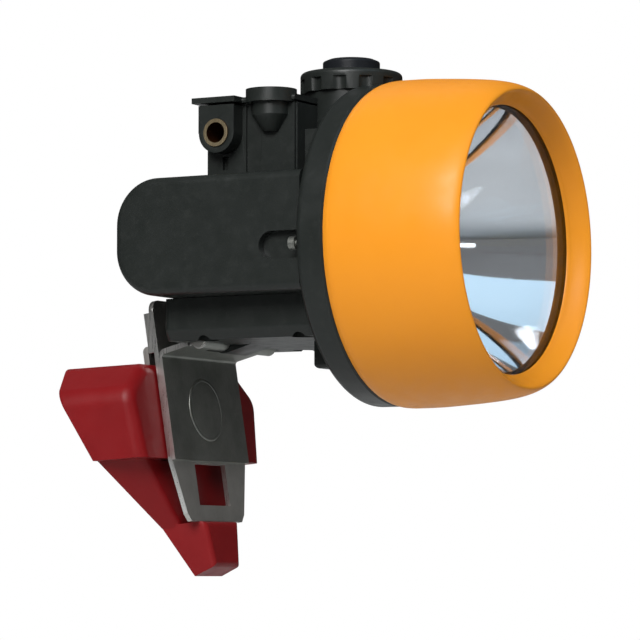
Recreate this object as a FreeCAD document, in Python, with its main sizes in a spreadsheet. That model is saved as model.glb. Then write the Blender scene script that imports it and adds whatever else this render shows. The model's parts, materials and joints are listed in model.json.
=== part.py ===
import FreeCAD, Part
import Sketcher
import math
import os

from FreeCAD import Placement, Rotation, Vector

# Miner's cordless cap lamp: a lamp head on a steel hook clip, and the bracket that the clip
# drops into. Millimetres, +Z up, the beam points along -Y, +X is the wearer's left.
# The origin is the middle of the bracket's back face, which is the face that meets a helmet.

doc = FreeCAD.newDocument("cap_lamp")
sheet = doc.addObject("Spreadsheet::Sheet", "Sizes")
pieces = []


class Size:
    """A length known both as a number and as an expression on the sheet."""

    def __init__(self, value, text):
        self.value = value
        self.text = text

    def _join(self, other, sign, flip=False):
        other = other if isinstance(other, Size) else Size(float(other), "%.6g" % other)
        a, b = (other, self) if flip else (self, other)
        value = {"+": a.value + b.value, "-": a.value - b.value, "*": a.value * b.value}[sign]
        return Size(value, "(%s %s %s)" % (a.text, sign, b.text))

    def __add__(self, other):
        return self._join(other, "+")

    def __radd__(self, other):
        return self._join(other, "+", True)

    def __sub__(self, other):
        return self._join(other, "-")

    def __rsub__(self, other):
        return self._join(other, "-", True)

    def __mul__(self, other):
        return self._join(other, "*")

    def __rmul__(self, other):
        return self._join(other, "*", True)

    def __neg__(self):
        return self._join(-1, "*")

    def __float__(self):
        return self.value


def size(word, value):
    row = size.row = getattr(size, "row", 0) + 1
    sheet.set("A%d" % row, word)
    sheet.set("B%d" % row, str(value))
    sheet.setAlias("B%d" % row, word)
    return Size(float(value), "Sizes." + word)


# ---------------------------------------------------------------- driving dimensions

# where the lamp head's own frame is: its origin is on the beam axis, at the ring's rear face
lamp_forward = size("lamp_forward", 47.2)
lamp_up = size("lamp_up", 45)

# bezel, ring and optics, all turned about the beam axis
bezel_radius = size("bezel_radius", 31.8)
bezel_shoulder_radius = size("bezel_shoulder_radius", 30.9)
bezel_crest_radius = size("bezel_crest_radius", 29)
bezel_front = size("bezel_front", 33.6)
bezel_crest_width = size("bezel_crest_width", 1)
bezel_inner = size("bezel_inner", 28.9)
opening_radius = size("opening_radius", 25.75)
ring_radius = size("ring_radius", 31.3)
ring_length = size("ring_length", 6.2)
spigot_radius = size("spigot_radius", 28.6)
spigot_length = size("spigot_length", 15)
back_wall = size("back_wall", 2.2)
lens_front = size("lens_front", 29.4)
lens_thickness = size("lens_thickness", 2)
lens_radius = size("lens_radius", 28)
seal_thickness = size("seal_thickness", 1)
reflector_radius = size("reflector_radius", 25.3)
reflector_apex = size("reflector_apex", 6)
reflector_hole = size("reflector_hole", 5.4)
reflector_wall = size("reflector_wall", 1)
pedestal_radius = size("pedestal_radius", 4.6)
pedestal_front = size("pedestal_front", 12.4)
plate_front = size("plate_front", 5)
plate_radius = size("plate_radius", 22)

# battery pod
pod_half = size("pod_half", 29)
pod_back = size("pod_back", 41.2)
pod_top = size("pod_top", 12.5)
pod_bottom = size("pod_bottom", -10.3)
pod_round = size("pod_round", 9)
pod_wall = size("pod_wall", 2)
cap_thickness = size("cap_thickness", 2.7)
cell_radius = size("cell_radius", 9.1)
cell_length = size("cell_length", 49)
cell_rear = size("cell_rear", 28.6)
cell_pitch = size("cell_pitch", 18.6)
cell_level = size("cell_level", 1.1)

# base cover, the rail under the pod, and the hinge
rail_half = size("rail_half", 21.5)
rail_back = size("rail_back", 34.6)
rail_bottom = size("rail_bottom", -18.5)
rail_wall = size("rail_wall", 1.8)
hinge_back = size("hinge_back", 31.2)
hinge_level = size("hinge_level", -18)
lug_half = size("lug_half", 4.4)
lug_radius = size("lug_radius", 2.1)
knuckle_radius = size("knuckle_radius", 1.7)
knuckle_outer = size("knuckle_outer", 13.5)
knuckle_inner = size("knuckle_inner", 4.85)
hinge_pin_radius = size("hinge_pin_radius", 0.9)

# upper housing with the switch and the charging socket
block_half = size("block_half", 16.5)
block_front = size("block_front", 7.5)
block_back = size("block_back", 27.6)
block_top = size("block_top", 27)
block_wall = size("block_wall", 1.8)
roof_thickness = size("roof_thickness", 1.5)
roof_lip = size("roof_lip", 1.2)
switch_back = size("switch_back", 4.7)
tower_radius = size("tower_radius", 9)
tower_top = size("tower_top", 30)
collar_radius = size("collar_radius", 10)
collar_top = size("collar_top", 34.2)
button_radius = size("button_radius", 5.6)
button_top = size("button_top", 36.9)
ear_side = size("ear_side", 17)
ear_back = size("ear_back", 13)
ear_radius = size("ear_radius", 4.95)
socket_back = size("socket_back", 23.6)
socket_level = size("socket_level", 21.6)
socket_radius = size("socket_radius", 2.7)
socket_bore = size("socket_bore", 2)
socket_depth = size("socket_depth", 6.3)
socket_tail_bore = size("socket_tail_bore", 2.3)
socket_face = size("socket_face", 20)

# hook clip: its own frame leans back by clip_lean, with its origin on the leaf's outer face
clip_back = size("clip_back", 36.3)
clip_level = size("clip_level", -40.2)
clip_lean = size("clip_lean", 9)
leaf_half = size("leaf_half", 14.25)
leaf_thickness = size("leaf_thickness", 0.8)
plate_thickness = size("plate_thickness", 1)
leaf_bottom = size("leaf_bottom", -1)
plate_top = size("plate_top", 31)
frame_bottom = size("frame_bottom", -13)
frame_half = size("frame_half", 10.3)
window_half = size("window_half", 5.85)
window_top = size("window_top", -1.5)
window_bottom = size("window_bottom", -9.8)
tongue_half = size("tongue_half", 11)
tongue_bottom = size("tongue_bottom", 1)

# helmet bracket
back_lean = size("back_lean", 28)
bracket_gap = size("bracket_gap", 0.3)
bracket_front_wall = size("bracket_front_wall", 2.2)
pocket_depth = size("pocket_depth", 2.4)
insert_side = size("insert_side", 17.5)
insert_height = size("insert_height", 11)
insert_radius = size("insert_radius", 2.8)
insert_depth = size("insert_depth", 6)

doc.recompute()


# ---------------------------------------------------------------- helpers

def bind(thing, path, length):
    """Give a property its value, from the sheet where the value is a Size."""
    if isinstance(length, Size):
        thing.setExpression(path, length.text)
    elif path.startswith("Placement"):
        thing.setExpression(path, "%.6g" % length)
    else:
        setattr(thing, path, float(length))


def bind_place(thing, x, y, z):
    for letter, length in zip("xyz", (x, y, z)):
        bind(thing, "Placement.Base." + letter, length)


def box(x0, x1, y0, y1, z0, z1):
    solid = doc.addObject("Part::Box", "Block")
    bind(solid, "Length", x1 - x0)
    bind(solid, "Width", y1 - y0)
    bind(solid, "Height", z1 - z0)
    bind_place(solid, x0, y0, z0)
    return solid


TURN = {
    "X": Rotation(Vector(0, 1, 0), 90),
    "Y": Rotation(Vector(1, 0, 0), -90),
    "Z": Rotation(),
}


def rod(axis, x, y, z, radius, length):
    """A cylinder that starts at the point and runs along the axis."""
    solid = doc.addObject("Part::Cylinder", "Rod")
    solid.Placement = Placement(Vector(), TURN[axis])
    bind(solid, "Radius", radius)
    bind(solid, "Height", length)
    bind_place(solid, x, y, z)
    return solid


def cone(axis, x, y, z, radius, radius_end, length):
    solid = doc.addObject("Part::Cone", "Taper")
    solid.Placement = Placement(Vector(), TURN[axis])
    bind(solid, "Radius1", radius)
    bind(solid, "Radius2", radius_end)
    bind(solid, "Height", length)
    bind_place(solid, x, y, z)
    return solid


def ball(x, y, z, radius):
    solid = doc.addObject("Part::Sphere", "Ball")
    bind(solid, "Radius", radius)
    bind_place(solid, x, y, z)
    return solid


def torus(axis, x, y, z, radius, thickness):
    solid = doc.addObject("Part::Torus", "Loop")
    solid.Placement = Placement(Vector(), TURN[axis])
    bind(solid, "Radius1", radius)
    bind(solid, "Radius2", thickness)
    bind_place(solid, x, y, z)
    return solid


def fuse(*solids):
    joined = doc.addObject("Part::MultiFuse", "Joined")
    joined.Shapes = list(solids)
    return joined


def cut(base, *tools):
    rest = doc.addObject("Part::Cut", "Rest")
    rest.Base = base
    rest.Tool = tools[0] if len(tools) == 1 else fuse(*tools)
    return rest


def common(base, tool):
    shared = doc.addObject("Part::Common", "Shared")
    shared.Base = base
    shared.Tool = tool
    return shared


def tube(axis, x, y, z, radius, bore, length):
    return cut(rod(axis, x, y, z, radius, length), rod(axis, x, y, z, bore, length))


def group(solids):
    together = doc.addObject("Part::Compound", "Group")
    together.Links = list(solids)
    return together


def wire(points, radius):
    """A lead whose runs each follow one axis, with round elbows."""
    runs = []
    for (a, b) in zip(points, points[1:]):
        axis = next(k for k in range(3) if a[k] != b[k])
        start = min(a, b, key=lambda p: p[axis])
        length = abs(b[axis] - a[axis])
        runs.append(rod("XYZ"[axis], *start, radius, length))
    elbows = [ball(*p, radius) for p in points[1:-1]]
    return fuse(*runs, *elbows)


def plane(body, role):
    return next(f for f in body.Origin.OriginFeatures if f.Role == role)


def outline(body, role, points, offset=None):
    """A sketch of straight edges, with both coordinates of every corner bound to the sheet."""
    sketch = body.newObject("Sketcher::SketchObject", body.Name + "_outline")
    sketch.AttachmentSupport = [(plane(body, role), "")]
    sketch.MapMode = "FlatFace"
    if offset:
        sketch.AttachmentOffset = offset
    ends = [Vector(float(a), float(b), 0) for (a, b) in points]
    for start, end in zip(ends, ends[1:] + ends[:1]):
        sketch.addGeometry(Part.LineSegment(start, end), False)
    count = len(points)
    for k in range(count):
        sketch.addConstraint(Sketcher.Constraint("Coincident", k, 2, (k + 1) % count, 1))
    for k, corner in enumerate(points):
        for kind, length in zip(("DistanceX", "DistanceY"), corner):
            if float(length) == 0:
                axis = -2 if kind == "DistanceX" else -1
                sketch.addConstraint(Sketcher.Constraint("PointOnObject", k, 1, axis))
                continue
            index = sketch.addConstraint(Sketcher.Constraint(kind, -1, 1, k, 1, float(length)))
            if isinstance(length, Size):
                name = "%s_%d" % (kind[-1], k)
                sketch.renameConstraint(index, name)
                sketch.setExpression("Constraints." + name, length.text)
    return sketch


def new_body(name):
    return doc.addObject("PartDesign::Body", name)


def padded(name, role, points, length, reverse=False, symmetric=False, offset=None):
    body = new_body(name)
    pad = body.newObject("PartDesign::Pad", name + "_pad")
    pad.Profile = outline(body, role, points, offset)
    bind(pad, "Length", length)
    pad.SideType = "Symmetric" if symmetric else "One side"
    pad.Reversed = reverse
    return body


def turned(name, axis, points):
    """A body turned about an axis of the frame, from (radius, place along the axis) corners."""
    body = new_body(name)
    spin = body.newObject("PartDesign::Revolution", name + "_turned")
    if axis == "X":
        points = [(along, radius) for (radius, along) in points]
    sketch = outline(body, "XZ_Plane" if axis == "Z" else "XY_Plane", points)
    spin.Profile = sketch
    spin.ReferenceAxis = (sketch, ["H_Axis" if axis == "X" else "V_Axis"])
    spin.Angle = 360
    return body


def edges_near(shape, points, reach=0.05):
    names = []
    for k, edge in enumerate(shape.Edges):
        for point in points:
            if edge.distToShape(Part.Vertex(Vector(*[float(c) for c in point])))[0] < reach:
                names.append("Edge%d" % (k + 1))
                break
    return names


def soften(body, kind, points, amount):
    """Fillet or chamfer the edges of a body's tip that pass through the points."""
    doc.recompute()
    tip = body.Tip
    names = edges_near(tip.Shape, points)
    if len(names) < len(points):
        raise RuntimeError("no edge to soften on " + body.Name)
    feature = body.newObject("PartDesign::" + kind, body.Name + "_" + kind.lower())
    feature.Base = (tip, names)
    bind(feature, "Radius" if kind == "Fillet" else "Size", amount)
    return body


def in_head(solid, label, back=0, level=0):
    """Put a finished sub-part in the lamp head's frame."""
    solid.Label = label
    bind_place(solid, 0, back - lamp_forward, level + lamp_up)
    pieces.append(solid)


def in_clip(solid, label):
    """Put a finished sub-part in the hook clip's leaning frame."""
    solid.Label = label
    solid.Placement = Placement(Vector(), Rotation(Vector(1, 0, 0), -float(clip_lean)))
    bind_place(solid, 0, clip_back - lamp_forward, clip_level + lamp_up)
    pieces.append(solid)


def both_sides(make):
    return [make(-1), make(1)]


MARGIN = 1.0


# ---------------------------------------------------------------- bezel and optics

def bezel():
    back = -ring_length
    body = turned("bezel_body", "Y", [
        (bezel_inner, back),
        (bezel_radius - 0.6, back),
        (bezel_radius, back - 3),
        (bezel_shoulder_radius, -bezel_front + 10),
        (bezel_crest_radius + 1, -bezel_front + 3),
        (bezel_crest_radius, -bezel_front),
        (bezel_crest_radius - bezel_crest_width, -bezel_front),
        (opening_radius + 0.6, -lens_front - 1),
        (opening_radius, -lens_front - 0.5),
        (opening_radius, -lens_front),
        (lens_radius + 0.2, -lens_front),
        (lens_radius + 0.2, -lens_front + 6),
        (bezel_inner, -lens_front + 6.7),
    ])
    soften(body, "Fillet", [(-(bezel_crest_radius + 1), -bezel_front + 3, 0)], 6)
    soften(body, "Fillet", [(-bezel_crest_radius, -bezel_front, 0)], 0.8)
    soften(body, "Fillet", [(-(bezel_crest_radius - bezel_crest_width), -bezel_front, 0)], 0.3)
    notch = box(-1.2, 1.2, -18.5, -14.5, bezel_radius - 0.8, bezel_radius + MARGIN)
    screw_hole = rod("Y", -LOCK_RADIUS, -ring_length - 5, LOCK_LEVEL, 0.7, 5 + MARGIN)
    return cut(body, notch, screw_hole)


LOCK_RADIUS = 29.9
LOCK_LEVEL = -1.7


def lens():
    body = turned("lens_body", "Y", [
        (0, -lens_front + 0.05),
        (lens_radius, -lens_front + 0.05),
        (lens_radius, -lens_front + lens_thickness),
        (0, -lens_front + lens_thickness),
    ])
    return soften(body, "Chamfer", [(-lens_radius, -lens_front + 0.05, 0)], 0.3)


def lens_seal():
    near = -lens_front + lens_thickness
    return turned("lens_seal_body", "Y", [
        (reflector_radius + 0.6, near),
        (lens_radius, near),
        (lens_radius, near + seal_thickness),
        (reflector_radius + 0.6, near + seal_thickness),
    ])


def reflector():
    """A parabolic bowl of even wall, open at both ends, with a flange round its mouth."""
    mouth = -float(lens_front + (-1) * lens_thickness + (-1) * seal_thickness)
    apex = -float(reflector_apex)
    wide = float(reflector_radius)
    hole = float(reflector_hole)
    wall = float(reflector_wall)
    focus = wide ** 2 / (4 * (apex - mouth))

    def inner(radius):
        return Vector(radius, apex - radius ** 2 / (4 * focus), 0)

    def outer(radius):
        slope = radius / (2 * focus)
        scale = wall / math.hypot(1, slope)
        return inner(radius) + Vector(slope, 1, 0) * scale

    steps = 12
    radii = [hole + (wide - hole) * k / steps for k in range(steps + 1)]
    curves = []
    for side in (inner, outer):
        curve = Part.BSplineCurve()
        curve.interpolate([side(r) for r in radii])
        curves.append(curve.toShape())
    in_mouth, out_mouth = inner(wide), outer(wide)
    in_hole, out_hole = inner(hole), outer(hole)
    flange = float(lens_radius) - 0.1
    corners = [
        in_mouth,
        Vector(flange, mouth, 0),
        Vector(flange, mouth + 1.2, 0),
        Vector(out_mouth.x, mouth + 1.2, 0),
        out_mouth,
    ]
    edges = [Part.makeLine(a, b) for a, b in zip(corners, corners[1:]) if (a - b).Length > 1e-6]
    edges += [Part.makeLine(in_hole, out_hole)] + curves
    face = Part.Face(Part.Wire(Part.sortEdges(edges)[0]))
    feature = doc.addObject("Part::Feature", "Reflector")
    feature.Shape = face.revolve(Vector(), Vector(0, 1, 0), 360)
    return feature


def heat_sink():
    plate = rod("Y", 0, -plate_front, 0, plate_radius, plate_front - back_wall)
    pedestal = rod("Y", 0, -pedestal_front, 0, pedestal_radius, pedestal_front - back_wall)
    lead_slot = box(-1.8, 1.8, -pedestal_front - MARGIN, -back_wall + MARGIN, 3.1, 18.2)
    holes = [rod("Y", 14 * s, -plate_front - MARGIN, -8, 1.3, 5) for s in (-1, 1)]
    return cut(fuse(plate, pedestal), lead_slot, *holes)


def heat_sink_screws():
    screws = []
    for side in (-1, 1):
        head = rod("Y", 14 * side, -plate_front - 1.4, -8, 2.1, 1.4)
        shank = rod("Y", 14 * side, -plate_front, -8, 1.2, 4.4)
        slot = box(14 * side - 2.2, 14 * side + 2.2, -plate_front - 1.5, -plate_front - 0.8, -8.3, -7.7)
        screws.append(cut(fuse(head, shank), slot))
    return group(screws)


def led_board():
    board = rod("Y", 0, -pedestal_front - 1, 0, pedestal_radius, 1)
    return cut(board, box(-1.8, 1.8, -pedestal_front - 2, -pedestal_front + MARGIN, 3.1, 6))


def main_led():
    face = -pedestal_front - 1
    base = box(-1.75, 1.75, face - 0.8, face, -1.75, 1.75)
    dome = common(ball(0, face - 0.8, 0, 1.5), box(-2, 2, face - 3, face - 0.1, -2, 2))
    return fuse(base, dome)


def bezel_seal():
    """The O-ring in the corner between the spigot and the ring, which the bezel closes on."""
    return torus("Y", 0, -spigot_length + 2.2, 0, spigot_radius - 0.35, 0.6)


def bezel_lock_screw():
    head = rod("Y", -LOCK_RADIUS, 0, LOCK_LEVEL, 1.3, 1.3)
    shank = rod("Y", -LOCK_RADIUS, -ring_length - 4, LOCK_LEVEL, 0.65, ring_length + 4)
    socket = rod("Y", -LOCK_RADIUS, 0.5, LOCK_LEVEL, 0.6, 1)
    return cut(fuse(head, shank), socket)


# ---------------------------------------------------------------- front housing

LEAD_LEVEL = 17.0


def front_housing():
    body = turned("front_body", "Y", [
        (0, -back_wall),
        (spigot_radius - 2.2, -back_wall),
        (spigot_radius - 2.2, -spigot_length),
        (spigot_radius, -spigot_length),
        (spigot_radius, -ring_length + 0.05),
        (ring_radius, -ring_length + 0.05),
        (ring_radius, 0),
        (0, 0),
    ])
    soften(body, "Fillet", [(-ring_radius, 0, 0)], 1.6)
    soften(body, "Chamfer", [(-ring_radius, -ring_length + 0.05, 0)], 0.5)
    boss = padded("front_boss_body", "XZ_Plane", [(-9, -24), (9, -24), (9, -18.6), (-9, -18.6)],
                  9, reverse=True, offset=Placement(Vector(0, 0, 1), Rotation()))
    soften(boss, "Fillet", [(-9, 3, -24), (9, 3, -24), (0, 8, -24)], 0.9)
    seal_groove = torus("Y", 0, -spigot_length + 2.2, 0, spigot_radius - 0.35, 0.6)
    collar_seat = rod("Z", 0, switch_back, tower_top, collar_radius + 0.05, 6)
    lead_hole = rod("Y", 0, -4, LEAD_LEVEL, 2.2, 6)
    holes = [rod("Y", 14 * s, -4, -8, 1.2, 6) for s in (-1, 1)]
    lock_hole = rod("Y", -LOCK_RADIUS, -ring_length - 1, LOCK_LEVEL, 0.65, ring_length + 2)
    return cut(fuse(body, boss), seal_groove, collar_seat, lead_hole, lock_hole, *holes)


# ---------------------------------------------------------------- battery pod

def d_block(name, half, back, bottom, top, radius):
    """A block whose rear end is rounded at its top and bottom, as wide as twice half."""
    body = padded(name, "YZ_Plane", [(0, bottom), (back, bottom), (back, top), (0, top)],
                  half * 2, symmetric=True)
    return soften(body, "Fillet", [(0, back, bottom), (0, back, top)], radius)


def battery_housing():
    half = pod_half - cap_thickness
    shell = d_block("pod_body", half, pod_back, pod_bottom, pod_top, pod_round)
    room = d_block("pod_room_body", half + MARGIN, pod_back - pod_wall, pod_bottom + pod_wall,
                   pod_top - pod_wall, pod_round - pod_wall)
    lead_hole = rod("Z", 0, 19.3, pod_top - pod_wall - MARGIN, 3, pod_wall + 2)
    screw_holes = [rod("Z", x, y, pod_bottom - MARGIN, 1, 2.6) for x, y in RAIL_SCREWS]
    return cut(shell, room, lead_hole, *screw_holes)


RAIL_SCREWS = [(x, y) for x in (-18.6, 18.6) for y in (5, 26)]


def end_cap(side):
    """The pod's end, with a spigot that plugs the shell. The right one has the screw groove."""
    name = "cap_left" if side > 0 else "cap_right"
    outer = padded(name + "_body", "YZ_Plane",
                   [(0, pod_bottom), (pod_back, pod_bottom), (pod_back, pod_top), (0, pod_top)],
                   cap_thickness, reverse=side < 0,
                   offset=Placement(Vector(0, 0, side * float(pod_half - cap_thickness)), Rotation()))
    middle = side * (pod_half - cap_thickness * 0.5)
    soften(outer, "Fillet", [(middle, pod_back, pod_bottom), (middle, pod_back, pod_top)], pod_round)
    face = side * pod_half
    soften(outer, "Fillet", [(face, 10, pod_bottom), (face, 10, pod_top), (face, pod_back, 1)], 1.6)
    spigot = d_block(name + "_spigot_body", pod_half - cap_thickness, pod_back - pod_wall - 0.1,
                     pod_bottom + pod_wall + 0.1, pod_top - pod_wall - 0.1, pod_round - pod_wall)
    inner = side * (pod_half - cap_thickness - 0.9)
    outer_edge = side * (pod_half - cap_thickness)
    band = box(*((outer_edge, inner) if side < 0 else (inner, outer_edge)), 0, pod_back, -15, 15)
    solid = fuse(outer, common(spigot, band))
    if side > 0:
        return solid
    depth = box(-pod_half - MARGIN, -pod_half + 1.9, -MARGIN, 6.2, LOCK_LEVEL - 2.65, LOCK_LEVEL + 2.65)
    end = rod("X", -pod_half - MARGIN, 6.2, LOCK_LEVEL, 2.65, 1.9 + MARGIN)
    return cut(solid, depth, end)


def cell(back):
    """One rechargeable cell lying across the pod, with its raised positive button."""
    can = rod("X", -cell_length * 0.5, back, cell_level, cell_radius, cell_length - 1)
    button = rod("X", cell_length * 0.5 - 1, back, cell_level, 3, 1)
    return fuse(can, button)


def cell_contacts():
    """Nickel straps across the two cells, one at each end."""
    front = cell_rear - cell_pitch
    straps = []
    for side in (-1, 1):
        near = side * (cell_length * 0.5)
        far = side * (cell_length * 0.5 + 0.3)
        x0, x1 = (far, near) if side < 0 else (near, far)
        straps.append(box(x0, x1, front - 3, cell_rear + 3, cell_level - 3, cell_level + 3))
    return group(straps)


def cell_frames():
    """The two plastic frames that hold the cell ends, slotted round the straps."""
    frames = []
    front = cell_rear - cell_pitch
    for side in (-1, 1):
        near = side * (cell_length * 0.5 - 4)
        far = side * (cell_length * 0.5 + 0.8)
        x0, x1 = (far, near) if side < 0 else (near, far)
        bar = box(x0, x1, front + 2, cell_rear - 2, cell_level - 8, cell_level + 8)
        bores = [rod("X", -30, y, cell_level, cell_radius + 0.05, 60) for y in (front, cell_rear)]
        strap_room = box(-30, 30, front - 4, cell_rear + 4, cell_level - 3.1, cell_level + 3.1)
        frames.append(cut(bar, *bores, strap_room))
    return frames


def cell_rib():
    """The rib between the two cells, in the cusp under them."""
    middle = cell_rear - cell_pitch * 0.5
    rib = box(-20, 20, middle - 2, middle + 2, cell_level - 9, cell_level - 6.4)
    return rib


def protection_board():
    middle = cell_rear - cell_pitch * 0.5
    board = box(-19, 19, middle - 2.1, middle + 2.1, cell_level + 6.9, cell_level + 7.7)
    return cut(board, rod("Z", 0, middle, 0, 1.8, 20))


def protection_parts():
    middle = cell_rear - cell_pitch * 0.5
    top = cell_level + 7.7
    chips = [box(x, x + 3, middle - 1.5, middle + 1.5, top, top + 0.9) for x in (-15, -10, 7, 12)]
    return group(chips)


# ---------------------------------------------------------------- base cover and its lug

def base_cover():
    body = padded("rail_body", "XZ_Plane", [
        (-rail_half, pod_bottom - 0.1),
        (-rail_half, rail_bottom + 2),
        (-rail_half + 1.2, rail_bottom),
        (rail_half - 1.2, rail_bottom),
        (rail_half, rail_bottom + 2),
        (rail_half, pod_bottom - 0.1),
    ], rail_back, reverse=True)
    soften(body, "Fillet", [(-rail_half, rail_back, -13), (rail_half, rail_back, -13)], 1.5)
    soften(body, "Fillet", [(-rail_half, 10, rail_bottom + 2), (rail_half, 10, rail_bottom + 2)], 1.2)
    room = box(-rail_half + 5.5, rail_half - 5.5, 2.5, hinge_back - 5, rail_bottom + rail_wall,
               pod_bottom + MARGIN)
    lug = padded("lug_body", "YZ_Plane", [
        (hinge_back - 6.2, rail_bottom + 1),
        (hinge_back - 6.2, rail_bottom),
        (hinge_back - 0.6, hinge_level - lug_radius + 0.06),
        (hinge_back + lug_radius * 0.9, hinge_level),
        (hinge_back + lug_radius * 0.9, rail_bottom + 1),
    ], lug_half * 2, symmetric=True)
    barrel = rod("X", -lug_half, hinge_back, hinge_level, lug_radius, lug_half * 2)
    knuckle_rooms = []
    for side in (-1, 1):
        ends = sorted((side * float(lug_half), side * float(leaf_half + 0.6)))
        knuckle_rooms.append(box(ends[0], ends[1], hinge_back - knuckle_radius - 0.5, rail_back + MARGIN,
                                 rail_bottom - 5, hinge_level + knuckle_radius + 0.5))
    bore = rod("X", -lug_half - MARGIN, hinge_back, hinge_level, hinge_pin_radius + 0.05,
               lug_half * 2 + 2 * MARGIN)
    holes = []
    for x, y in RAIL_SCREWS:
        holes.append(rod("Z", x, y, rail_bottom - MARGIN, 1.15, 20))
        holes.append(rod("Z", x, y, rail_bottom - MARGIN, 2.2, SCREW_RECESS + 1.6 + MARGIN))
    return cut(fuse(cut(body, room, *knuckle_rooms), lug, barrel), bore, *holes)


SCREW_RECESS = 1.6


def base_cover_screws():
    screws = []
    for x, y in RAIL_SCREWS:
        head_face = rail_bottom + SCREW_RECESS
        head = rod("Z", x, y, head_face, 2.1, 1.6)
        shank = rod("Z", x, y, head_face + MARGIN, 0.98, 8.7 - SCREW_RECESS)
        cross = [box(x - 1.3, x + 1.3, y - 0.3, y + 0.3, rail_bottom, head_face + 0.8),
                 box(x - 0.3, x + 0.3, y - 1.3, y + 1.3, rail_bottom, head_face + 0.8)]
        screws.append(cut(fuse(head, shank), *cross))
    return group(screws)


# ---------------------------------------------------------------- upper housing

BOARD_LEVEL = 22.4
BOARD_THICKNESS = 1.6


def top_housing():
    """The upper box, the switch tower in front of it, the screw bosses and the socket boss."""
    floor = pod_top + 0.1
    blocks = [
        box(-block_half, block_half, block_front, block_back, floor, block_top),
        rod("Z", 0, switch_back, floor, tower_radius, tower_top - floor),
        box(-block_half + 3, block_half - 3, 0, block_front + MARGIN, floor, block_top - 5),
    ]
    for side in (-1, 1):
        x = side * float(ear_side)
        blocks.append(rod("Z", x, ear_back, 24.6, 3.75, block_top - 24.6))
        blocks.append(cone("Z", x, ear_back, 21.4, 1.6, 3.75, 3.2))
    panel = padded("panel_body", "YZ_Plane", [
        (block_front + 0.3, floor), (15.2, floor), (15.2, block_top - 0.1),
        (block_front + 0.3, block_top - 0.1),
    ], block_half * 2 + 1.2, symmetric=True)
    blocks.append(panel)
    side_face = -socket_face
    blocks.append(box(side_face, -block_half + MARGIN, socket_back - 3.9, block_back,
                      socket_level, block_top))
    blocks.append(rod("X", side_face, socket_back, socket_level, 3.9, socket_face - block_half + 1))
    room = box(-block_half + block_wall, block_half - block_wall, block_front + 0.6,
               block_back - block_wall, floor + 1.5, block_top + MARGIN)
    tower_room = rod("Z", 0, switch_back, floor + 1.5, tower_radius - block_wall, 28.4 - (floor + 1.5))
    front_room = box(-block_half + 4.8, block_half - 4.8, 1.6, block_front + MARGIN,
                     floor + 1.5, block_top - 6.5)
    stem_hole = rod("Z", 0, switch_back, 20, 2.75, 12)
    ahead = box(-20, 20, -12, 0, floor - MARGIN, 40)
    lead_holes = [rod("Z", 0, 19.3, floor - MARGIN, 3, 4)]
    lead_holes.append(rod("Y", 0, -MARGIN, LEAD_LEVEL, 2.2, 4))
    socket_hole = rod("X", -22, socket_back, socket_level, socket_radius + 0.02, 10.5)
    slot = box(-block_half - MARGIN, -block_half + 0.9, 22.9, 24.2, 14.6, 17.2)
    groove = box(-block_half - MARGIN, -block_half + 0.5, 18.2, 18.9, floor - MARGIN, block_top + 1)
    screw_holes = [rod("Z", s * float(ear_side), ear_back, 22.2, 1, 8) for s in (-1, 1)]
    roof_seat = cut(box(-20, 20, block_front, 30, block_top, 40),
                    rod("Z", 0, switch_back, 20, tower_radius, 20))
    return cut(fuse(*blocks), room, tower_room, front_room, stem_hole, ahead, socket_hole, slot,
               groove, roof_seat, *lead_holes, *screw_holes)


def top_cover():
    plate = padded("roof_body", "XY_Plane", [
        (-block_half - roof_lip, block_front),
        (block_half + roof_lip, block_front),
        (block_half + roof_lip, block_back + roof_lip),
        (-block_half - roof_lip, block_back + roof_lip),
    ], roof_thickness - 0.4, offset=Placement(Vector(0, 0, float(block_top) + 0.4), Rotation()))
    corner_side = block_half + roof_lip
    level = block_top + roof_thickness * 0.5 + 0.2
    soften(plate, "Fillet", [(-corner_side, block_back + roof_lip, level),
                             (corner_side, block_back + roof_lip, level)], 2)
    top = block_top + roof_thickness
    soften(plate, "Fillet", [(-corner_side, 20, top), (corner_side, 20, top),
                             (0, block_back + roof_lip, top)], 0.6)
    ears = both_sides(lambda s: rod("Z", s * float(ear_side), ear_back, block_top, ear_radius, 2.6))
    socket_roof = box(-socket_face - 0.6, -block_half, socket_back - 4.4, block_back + roof_lip,
                      block_top + 0.4, top)
    tower = rod("Z", 0, switch_back, 20, tower_radius + 0.05, 20)
    holes = []
    for x, y in COVER_SCREWS:
        holes.append(rod("Z", x, y, 20, 1.15, 20))
        holes.append(rod("Z", x, y, block_top + (1.3 if y < 20 else 0.9), 2.15, 10))
    collar = rod("Z", 0, switch_back, tower_top - 0.05, collar_radius + 0.1, 10)
    return cut(fuse(plate, socket_roof, *ears), tower, collar, *holes)


COVER_SCREWS = [(-17, 13), (17, 13)]


def cover_gasket():
    """A flat gasket between the upper box and its roof."""
    outer = box(-block_half + 0.1, block_half - 0.1, ear_back + 5.2, block_back - 0.1,
                block_top, block_top + 0.4)
    inner = box(-block_half + block_wall, block_half - block_wall, 0, block_back - block_wall,
                20, 30)
    return cut(outer, inner)


def cover_screws():
    screws = []
    for x, y in COVER_SCREWS:
        head = rod("Z", x, y, block_top + 1.3, 2.05, 1.2)
        shank = rod("Z", x, y, 22.4, 0.98, block_top + 1.4 - 22.4)
        cross = [box(x - 1.3, x + 1.3, y - 0.3, y + 0.3, block_top + 1.9, 30),
                 box(x - 0.3, x + 0.3, y - 1.3, y + 1.3, block_top + 1.9, 30)]
        screws.append(cut(fuse(head, shank), *cross))
    return group(screws)


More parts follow.
